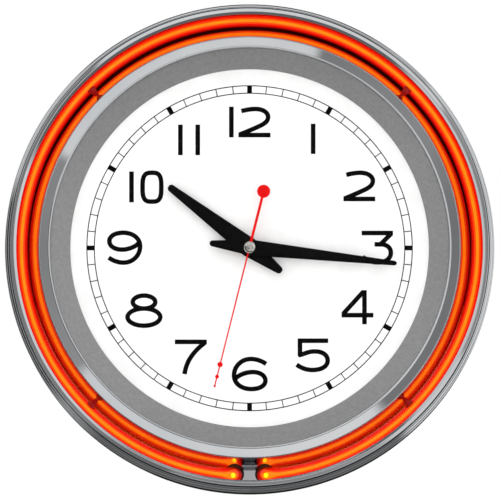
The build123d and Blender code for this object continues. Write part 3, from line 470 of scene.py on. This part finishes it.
# Strokes of each numeral over its own box: 0..1 across and 0..1 up. A True marks a closed stroke.
SIX = [(bezier([(0.955, 0.785), (0.84, 0.87), (0.70, 0.93), (0.53, 0.93), (0.27, 0.93), (0.065, 0.72),
                (0.065, 0.46), (0.065, 0.22), (0.28, 0.068), (0.54, 0.068), (0.77, 0.068), (0.935, 0.16),
                (0.935, 0.31), (0.935, 0.46), (0.78, 0.555), (0.58, 0.555), (0.38, 0.555), (0.18, 0.46),
                (0.10, 0.36)]), False)]
STROKES = {
    "1": [([(0.5, 0.0), (0.5, 1.0)], False)],
    "2": [(bezier([(0.09, 0.855), (0.25, 0.90), (0.40, 0.924), (0.53, 0.924), (0.78, 0.924), (0.925, 0.80),
                   (0.925, 0.665), (0.925, 0.54), (0.84, 0.47), (0.72, 0.40), (0.50, 0.29), (0.25, 0.18),
                   (0.03, 0.09)]), False),
          ([(0.0, 0.076), (1.0, 0.076)], False)],
    "3": [([(0.0, 0.932), (1.0, 0.932)], False), ([(0.95, 0.92), (0.60, 0.60)], False),
          (bezier([(0.41, 0.60), (0.50, 0.60), (0.58, 0.60), (0.66, 0.60), (0.84, 0.58), (0.93, 0.48),
                   (0.93, 0.35), (0.93, 0.18), (0.76, 0.07), (0.52, 0.07), (0.33, 0.07), (0.15, 0.13),
                   (0.03, 0.24)]), False)],
    "4": [([(0.72, 0.0), (0.72, 1.0)], False), ([(0.0, 0.268), (1.0, 0.268)], False),
          ([(0.69, 0.96), (0.045, 0.30)], False)],
    "5": [([(0.07, 0.926), (0.95, 0.926)], False), ([(0.138, 0.99), (0.138, 0.47)], False),
          (bezier([(0.09, 0.50), (0.25, 0.52), (0.35, 0.613), (0.56, 0.613), (0.80, 0.613), (0.933, 0.50),
                   (0.933, 0.345), (0.933, 0.17), (0.75, 0.068), (0.50, 0.068), (0.32, 0.068), (0.17, 0.13),
                   (0.04, 0.225)]), False)],
    "6": SIX,
    "7": [([(0.0, 0.933), (0.98, 0.933)], False),
          (bezier([(0.95, 0.93), (0.70, 0.75), (0.36, 0.47), (0.30, 0.0)], 24), False)],
    "8": [(oval(0.502, 0.746, 0.30, 0.186), True), (oval(0.5, 0.314, 0.436, 0.246), True)],
    "9": [(1 - np.asarray(path), closed) for path, closed in SIX],
    "0": [(squarish(0.5, 0.5, 0.40, 0.43), True)],
}
STROKE_WIDTH = 3.5
# Every numeral: its figure, left, bottom, width and height in mm from the middle of the dial.
NUMERALS = [
    ("1", -15.5, 83.0, 3.7, 23.1), ("2", -8.35, 83.0, 24.05, 23.1),
    ("1", 45.8, 70.5, 3.7, 22.8),
    ("2", 70.3, 35.0, 23.85, 23.2),
    ("3", 83.9, -12.6, 23.5, 25.55),
    ("4", 68.8, -57.2, 23.85, 25.6),
    ("5", 34.1, -93.1, 26.05, 25.5),
    ("6", -13.4, -107.4, 27.0, 26.1),
    ("7", -55.95, -94.5, 24.45, 25.9),
    ("8", -93.1, -60.0, 28.1, 26.1),
    ("9", -106.7, -12.8, 26.5, 26.0),
    ("1", -90.3, 34.2, 3.7, 23.2), ("0", -81.9, 33.0, 17.5, 25.2),
    ("1", -53.7, 69.6, 3.7, 23.0), ("1", -40.7, 69.6, 3.7, 23.0),
]
numerals = []
for figure, left, bottom, width, height in NUMERALS:
    for path, closed in STROKES[figure]:
        placed = np.asarray(path, float) * (width, height) + (left, bottom)
        numerals.append(ribbon(placed, STROKE_WIDTH, closed, INK + 0.002 * (len(numerals) % 7)))
print_piece("numerals", numerals, dial_ink)

# ---------------------------------------------------------------- trough floor band of painted shade and lead-in grommets
CONE_FOOT = (165.6, -69.7)
CONE_TOP = (157.4, -85.6)


def trough_surface(radius):
    """y of the trough's floor, or of its cone wall where the radius is less than the cone's foot."""
    slope = (CONE_TOP[1] - CONE_FOOT[1]) / (CONE_TOP[0] - CONE_FOOT[0])
    cone = CONE_FOOT[1] + (radius - CONE_FOOT[0]) * slope
    foot = np.interp(radius, [CONE_FOOT[0], CONE_FOOT[0] + 0.6], [CONE_FOOT[1], -66.0])
    return np.where(radius < CONE_FOOT[0], cone, foot)


# A black band on the trough floor, not a part of the clock: painted dark reflection and shade behind the
# tube. Its edges change with the angle from 12, following that dark region.
turn = np.radians(np.linspace(188.0, 532.0, 700))[None, :]
from_top = np.abs((np.degrees(turn) + 180) % 360 - 180)
inner_edge = np.interp(from_top, [40.0, 95.0, 135.0], [162.9, 165.4, 168.5])
outer_edge = np.interp(from_top, [75.0, 135.0], [175.0, 172.0])
share = np.linspace(0, 1, 40)[:, None]
reach = inner_edge + (outer_edge - inner_edge) * share
seat = trough_surface(reach)
top = np.stack([reach * np.sin(turn), seat - 0.07, reach * np.cos(turn)], axis=-1)
under = np.stack([reach * np.sin(turn), seat + 0.2, reach * np.cos(turn)], axis=-1)
skin = np.concatenate([top, under[::-1]], axis=0)
painted_shade_faces = grid_faces(skin.shape[0], skin.shape[1], True, False)
rows, columns = skin.shape[:2]
painted_shade_faces += [[row * columns for row in range(rows)][::-1],
               [row * columns + columns - 1 for row in range(rows)]]
mesh_piece("trough_floor_painted_shade_band", skin.reshape(-1, 3), [face[::-1] for face in painted_shade_faces], black_lacquer,
           slot="chrome")
BULB_AXIS = (11.37, 169.1)

for side in (-1, 1):
    ring, turn = np.meshgrid(np.linspace(0, 1, 26), np.linspace(0, 2 * np.pi, 97)[:-1], indexing="ij")
    spread = 3.5 + 3.8 * ring
    gx = side * BULB_AXIS[0] + spread * np.sin(turn)
    gz = -BULB_AXIS[1] + spread * np.cos(turn)
    swell = 0.9 * np.sqrt(np.clip(1 - np.clip((ring - 0.8) / 0.2, 0, 1) ** 2, 0, 1))
    base = trough_surface(np.hypot(gx, gz))
    top = np.stack([gx, base - 0.05 - swell, gz], axis=-1)
    under = np.stack([gx, base + 0.3, gz], axis=-1)
    skin = np.concatenate([top, under[::-1]], axis=0)
    faces = grid_faces(skin.shape[0], skin.shape[1], True, True)
    faces = [face[::-1] for face in faces]
    hand_side = "left" if side < 0 else "right"
    mesh_piece("grommet_flange_" + hand_side, skin.reshape(-1, 3), faces, black_rubber,
               slot="black_rubber")

# ---------------------------------------------------------------- hands
EDGE = 0.16


def hand_piece(name, outlines, y_front, thickness, material, body, slot_name, turn_degrees):
    """Flat hands with a softened front edge.

    Each outline is a closed run of (across, along) points. The front face is the outline drawn in by EDGE
    along its own normals; the sides run from the full outline back to the rear face.
    """
    a = np.radians(turn_degrees)
    points, faces, base = [], [], 0
    for order, outline in enumerate(outlines):
        outline = np.asarray(outline, float)
        along = np.roll(outline, -1, axis=0) - np.roll(outline, 1, axis=0)
        along /= np.linalg.norm(along, axis=1, keepdims=True)
        inward = np.stack([-along[:, 1], along[:, 0]], axis=1)
        area = np.sum(outline[:, 0] * np.roll(outline[:, 1], -1) - outline[:, 1] * np.roll(outline[:, 0], -1))
        inward *= 1 if area > 0 else -1
        layers = [(outline + inward * EDGE, y_front), (outline + inward * EDGE * 0.3, y_front + EDGE * 0.3),
                  (outline, y_front + EDGE), (outline, y_front + thickness)]
        count = len(outline)
        for flat, level in layers:
            x = flat[:, 0] * np.cos(a) + flat[:, 1] * np.sin(a)
            z = -flat[:, 0] * np.sin(a) + flat[:, 1] * np.cos(a)
            points.append(np.stack([x, np.full(count, level + 0.006 * order), z], axis=1))
        quads = grid_faces(4, count, False, True)
        caps = [list(range(count)), [3 * count + k for k in range(count)][::-1]]
        if area > 0:
            quads = [quad[::-1] for quad in quads]
        else:
            caps = [cap[::-1] for cap in caps]
        faces += [[index + base for index in face] for face in quads + caps]
        base += 4 * count
    return mesh_piece(name, np.vstack(points), faces, material, body=body, slot=slot_name, smooth=False)


def blade(reach, hub_half, tip_half, tail_reach, tail_half, hub_radius):
    """Outline of a tapered hand, with a round boss at its hub and blunt, chamfered ends."""
    chamfer = 1.5
    side = [(tip_half * 0.45, reach), (tip_half, reach - chamfer), (hub_half, 0.0),
            (tail_half, -tail_reach + chamfer), (tail_half * 0.5, -tail_reach)]
    dense = []
    for (x0, y0), (x1, y1) in zip(side, side[1:]):
        for share in np.linspace(0, 1, 12, endpoint=False):
            x, y = x0 + (x1 - x0) * share, y0 + (y1 - y0) * share
            boss = np.sqrt(max(hub_radius ** 2 - y * y, 0))
            dense.append((max(x, boss), y))
    dense.append(side[-1])
    right = np.array(dense)
    left = right[::-1] * (-1, 1)
    return np.vstack([right, left])


def disc(x, y, radius):
    """A round outline."""
    t = np.linspace(0, 2 * np.pi, 48, endpoint=False)
    return np.stack([x + radius * np.sin(t), y + radius * np.cos(t)], axis=1)


HOUR_ANGLE, MINUTE_ANGLE, SECOND_ANGLE = 307.2, 96.2, 194.1
HAND_THICKNESS = 0.4
hour = hand_piece("hour_blade", [blade(76.0, 7.35, 2.7, 30.0, 2.7, 6.0)], -74.6, HAND_THICKNESS,
                  black_lacquer,
                  "hour_train", "black_lacquer", HOUR_ANGLE)
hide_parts("hour_hand")
minute = hand_piece("minute_blade", [blade(110.6, 6.0, 1.75, 30.0, 2.2, 5.0)], -77.0, HAND_THICKNESS,
                    black_lacquer, "minute_train", "black_lacquer", MINUTE_ANGLE)
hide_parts("minute_hand")
arm = [(0.5, 107.0), (0.58, 0.0), (1.0, -0.1), (1.0, -38.5), (-1.0, -38.5), (-1.0, -0.1), (-0.58, 0.0),
       (-0.5, 107.0)]
sweep_parts = [arm, disc(0, 90.3, 2.0), disc(0, 99.6, 1.45), disc(0, 106.9, 0.9),
               disc(0, -43.2, 4.9), disc(0, 0, 3.6)]
sweep = hand_piece("second_sweep_hand", sweep_parts, -79.4, HAND_THICKNESS, red_lacquer, "second_train",
                   "red_lacquer", SECOND_ANGLE)
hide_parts("second_hand")

# ---------------------------------------------------------------- tube clips
CLIP_ANGLES = (45.0, 134.5, 225.0, 315.0)


def clip_tongue(degrees):
    """A tinted tongue from the tube's inner flank down to the cone, narrowing as it goes.

    Its middle line is a cubic curve in (radius, y); round it runs a flattened ellipse.
    """
    line = bezier([(168.6, -77.8), (165.8, -78.6), (163.8, -75.8), (159.2, -83.6)], 26)
    along = np.gradient(line, axis=0)
    along /= np.linalg.norm(along, axis=1, keepdims=True)
    normal = np.stack([-along[:, 1], along[:, 0]], axis=1)
    share = np.linspace(0, 1, len(line))
    width = (4.0 - 2.9 * share) * np.sqrt(np.clip(1 - (2 * share - 1) ** 8, 0.01, 1))
    depth = 1.1 * np.sqrt(np.clip(1 - (2 * share - 1) ** 8, 0.01, 1))
    t = np.linspace(0, 2 * np.pi, 28, endpoint=False)
    radial = line[:, None, 0] + normal[:, None, 0] * depth[:, None] * np.cos(t)
    y = line[:, None, 1] + normal[:, None, 1] * depth[:, None] * np.cos(t)
    side = width[:, None] * np.sin(t)
    a = np.radians(degrees)
    points = np.stack([radial * np.sin(a) + side * np.cos(a), y, radial * np.cos(a) - side * np.sin(a)],
                      axis=-1)
    faces = grid_faces(len(line), 28, False, True)
    last = (len(line) - 1) * 28
    faces += [list(range(28))[::-1], [last + k for k in range(28)]]
    return points.reshape(-1, 3), faces


clip_points, clip_faces, base = [], [], 0
for degrees in CLIP_ANGLES:
    tongue, quads = clip_tongue(degrees)
    clip_points.append(tongue)
    clip_faces += [[index + base for index in quad] for quad in quads]
    base += len(tongue)
# The clips' material paints the tube's glow into them as their own light.
mesh_piece("clip_tongues", np.vstack(clip_points), clip_faces, clip_red_painted_glow, slot="clip_plastic")

# ---------------------------------------------------------------- hub cap
cap_front, cap_back = HUB_Y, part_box("hub_cap")[1][1] / MM
cap_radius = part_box("hub_cap")[1][0] / MM
bend = np.linspace(0, np.pi / 2, 14)
cap_profile = np.vstack([
    [[0, cap_front]],
    np.stack([cap_radius * np.sin(bend[1:]), cap_front + 1.9 * (1 - np.cos(bend[1:]))], axis=1),
    [[cap_radius, cap_back - 0.1], [cap_radius - 0.1, cap_back], [0, cap_back]],
])
cap = spun("hub_cap_dome", cap_profile, polished_nickel, body="second_train", slot="nickel")
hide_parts("hub_cap")

# ---------------------------------------------------------------- stage, light and camera
FLOOR_Z = -0.6
FLOOR_HALF = 6.0
floor_material = finish("pale_floor_paint", "F4F4F2", 0.6, 0.0, "F0F0EE", 200, 4, 0.05, 0.05)
floor_mesh = bpy.data.meshes.new("floor")
corners = [(x * FLOOR_HALF, y * FLOOR_HALF, FLOOR_Z) for x, y in ((-1, -1), (1, -1), (1, 1), (-1, 1))]
floor_mesh.from_pydata(corners, [], [(0, 1, 2, 3)])
floor_mesh.materials.append(floor_material)
floor = bpy.data.objects.new("floor", floor_mesh)
bpy.context.scene.collection.objects.link(floor)
floor.visible_glossy = False


def studio_world():
    """White backdrop for the eye, even light for matt surfaces, and soft panels for what mirrors them.

    The panels are sectors round the clock's axis: their brightness is a ramp over the angle whose
    tangent is x over z. Four ramps follow one another from straight ahead to beside the clock, and
    the last fades behind it. The Y of the direction tells which ramp is seen.
    """
    world = bpy.data.worlds.new("studio")
    bpy.context.scene.world = world
    world.use_nodes = True
    tree = world.node_tree
    tree.nodes.clear()
    output = add(tree, "ShaderNodeOutputWorld")
    place = add(tree, "ShaderNodeTexCoord")
    split = add(tree, "ShaderNodeSeparateXYZ", links={"Vector": place.outputs["Generated"]})
    angle = add(tree, "ShaderNodeMath", {"operation": "ARCTAN2"})
    tree.links.new(split.outputs["X"], angle.inputs[0])
    tree.links.new(split.outputs["Z"], angle.inputs[1])
    share = add(tree, "ShaderNodeMapRange", values={"From Min": -np.pi, "From Max": np.pi},
                links={"Value": angle.outputs[0]})

    def panels(stops):
        """A ramp over the angle from -180 to 180 degrees; each stop is (degrees, grey)."""
        ramp = add(tree, "ShaderNodeValToRGB", links={"Fac": share.outputs[0]})
        elements = ramp.color_ramp.elements
        while len(elements) > 1:
            elements.remove(elements[-1])
        for index, (degrees, grey) in enumerate(stops):
            spot = elements[0] if index == 0 else elements.new(degrees / 360 + 0.5)
            spot.color = (grey, grey, grey, 1)
        return ramp.outputs[0]

    def across(edge, **reach):
        """A smooth step from 0 to 1 as the direction's Y goes from one end of the edge to the other."""
        return add(tree, "ShaderNodeMapRange", {"interpolation_type": "SMOOTHSTEP"},
                   values={"From Min": edge[0], "From Max": edge[1], **reach},
                   links={"Value": split.outputs["Y"]})

    pole = panels(POLE_PANELS)
    ahead = across(POLE_EDGE)
    close = add(tree, "ShaderNodeMix", {"data_type": "RGBA"}, links={"Factor": ahead.outputs[0]})
    tree.links.new(pole, close.inputs[6])
    tree.links.new(panels(NEAR_PANELS), close.inputs[7])
    before = panels(FRONT_PANELS)
    beside = panels(SIDE_PANELS)
    depth = across(FRONT_EDGE)
    pattern = add(tree, "ShaderNodeMix", {"data_type": "RGBA"}, links={"Factor": depth.outputs[0]})
    middle = across(NEAR_EDGE)
    forward = add(tree, "ShaderNodeMix", {"data_type": "RGBA"}, links={"Factor": middle.outputs[0]})
    tree.links.new(close.outputs[2], forward.inputs[6])
    tree.links.new(before, forward.inputs[7])
    tree.links.new(forward.outputs[2], pattern.inputs[6])
    behind = across(BACK_EDGE, **{"To Min": 1.0, "To Max": BACK_SHARE})
    fading = add(tree, "ShaderNodeMix", {"data_type": "RGBA", "blend_type": "MULTIPLY"},
                 values={"Factor": 1.0})
    tree.links.new(beside, fading.inputs[6])
    tree.links.new(behind.outputs[0], fading.inputs[7])
    tree.links.new(fading.outputs[2], pattern.inputs[7])
    ray = add(tree, "ShaderNodeLightPath")
    mirrored = add(tree, "ShaderNodeBackground", links={"Color": pattern.outputs[2]})
    even = add(tree, "ShaderNodeBackground", values={"Color": (1, 1, 1, 1), "Strength": EVEN_LIGHT})
    seen = add(tree, "ShaderNodeBackground", values={"Color": (1, 1, 1, 1), "Strength": 1.0})
    lit = add(tree, "ShaderNodeMixShader", links={"Fac": ray.outputs["Is Glossy Ray"]})
    tree.links.new(even.outputs[0], lit.inputs[1])
    tree.links.new(mirrored.outputs[0], lit.inputs[2])
    final = add(tree, "ShaderNodeMixShader", links={"Fac": ray.outputs["Is Camera Ray"]})
    tree.links.new(lit.outputs[0], final.inputs[1])
    tree.links.new(seen.outputs[0], final.inputs[2])
    tree.links.new(final.outputs[0], output.inputs["Surface"])


EVEN_LIGHT = 1.42
POLE_EDGE = (-0.965, -0.945)
NEAR_EDGE = (-0.83, -0.77)
FRONT_EDGE = (-0.42, -0.32)
BACK_EDGE = (0.08, 0.3)
BACK_SHARE = 0.1
POLE_PANELS = [
    (-180, 0.14), (-140, 0.12), (-128, 0.3), (-121, 0.1), (-76, 0.12), (-69, 0.66), (0, 0.62), (46, 0.78),
    (136, 0.78), (142, 0.18), (180, 0.14),
]
NEAR_PANELS = [
    (-180, 0.76), (-159, 0.76), (-156, 0.24), (-120, 0.32), (-90, 0.22), (-36, 0.22), (-33, 0.8), (46, 0.76),
    (49, 0.34), (80, 0.26), (107, 0.3), (110, 0.76), (180, 0.76),
]
FRONT_PANELS = [
    (-180, 0.2), (-140, 0.16), (-128, 0.3), (-121, 0.05), (-76, 0.04), (-69, 0.66), (0, 0.78), (44, 0.5),
    (46, 0.8), (136, 0.8), (140, 0.2), (180, 0.16),
]
SIDE_PANELS = [
    (-180, 0.14), (-140, 0.14), (-132, 0.7), (-44, 0.7), (-38, 0.14), (28, 0.14), (36, 0.78), (106, 0.78),
    (114, 0.14), (180, 0.14),
]
studio_world()

CAMERA_DISTANCE = 4.0
CAMERA_DROP = np.radians(3.0)
AIM = Vector((0.00032, -0.045, -0.00026))
HALF_VIEW = 0.1883
camera_data = bpy.data.cameras.new("camera")
camera_data.sensor_width = 36.0
camera_data.lens = camera_data.sensor_width / 2 * CAMERA_DISTANCE / HALF_VIEW
camera_data.clip_end = 50
camera = bpy.data.objects.new("camera", camera_data)
bpy.context.scene.collection.objects.link(camera)
camera.location = AIM + CAMERA_DISTANCE * Vector((0, -np.cos(CAMERA_DROP), -np.sin(CAMERA_DROP)))
camera.rotation_euler = (AIM - camera.location).to_track_quat("-Z", "Y").to_euler()
bpy.context.scene.camera = camera
bpy.context.scene.view_settings.view_transform = "Standard"
